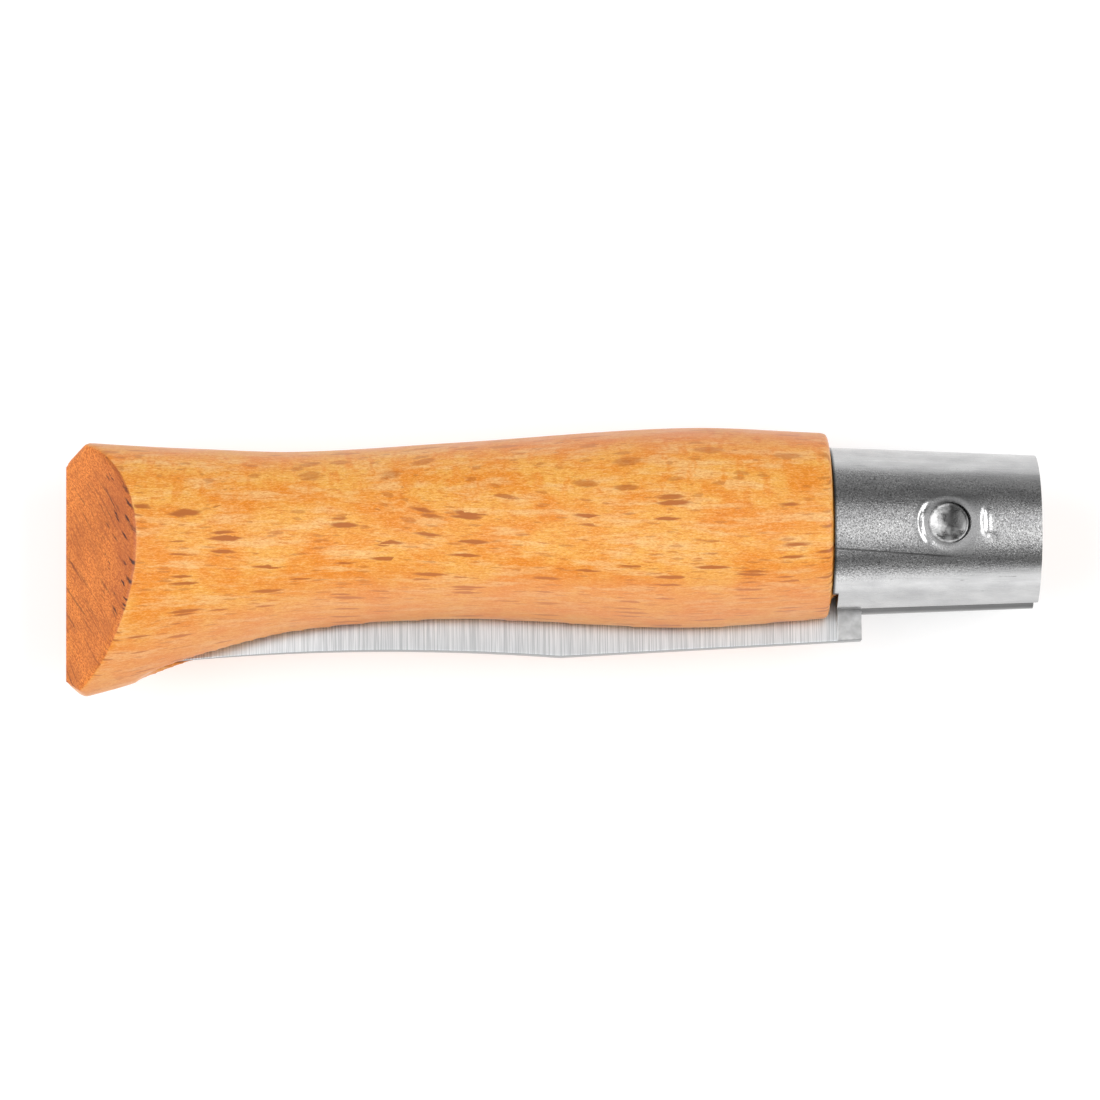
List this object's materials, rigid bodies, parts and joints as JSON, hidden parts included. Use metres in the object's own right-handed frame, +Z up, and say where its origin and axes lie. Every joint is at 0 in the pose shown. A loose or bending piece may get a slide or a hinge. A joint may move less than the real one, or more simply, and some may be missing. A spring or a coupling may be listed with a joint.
{
  "type": "grafting knife",
  "caption": "Folding grafting knife, shut: slotted wooden handle with a flared, faceted butt, tapered steel ferrule and a riveted straight-edged blade lying in the slot.",
  "frame": {"origin": "on the table under the middle of the knife's box; the shut knife lies on its side", "axes": "+X from the butt to the ferrule, +Y to the back of the handle, +Z up, out of the side of the blade that is ground"},
  "size_m": [0.105, 0.0292, 0.0198],
  "materials": {
    "beech": "varnished",
    "ferrule_steel": "bright, drawn and tumbled",
    "blade_steel": "ground across the blade",
    "rivet_steel": "peened"
  },
  "bodies": {
    "grip": {"handle": "beech", "ferrule": "ferrule_steel", "pivot_rivet": "rivet_steel"},
    "folding_blade": {"blade": "blade_steel"}
  },
  "joints": [
    {"name": "blade_fold", "type": "hinge", "parent": "grip", "child": "folding_blade", "pos_m": [0.04235, 0.00321, 0.00992], "axis": [0, 0, 1], "range_deg": [0, 180]}
  ]
}
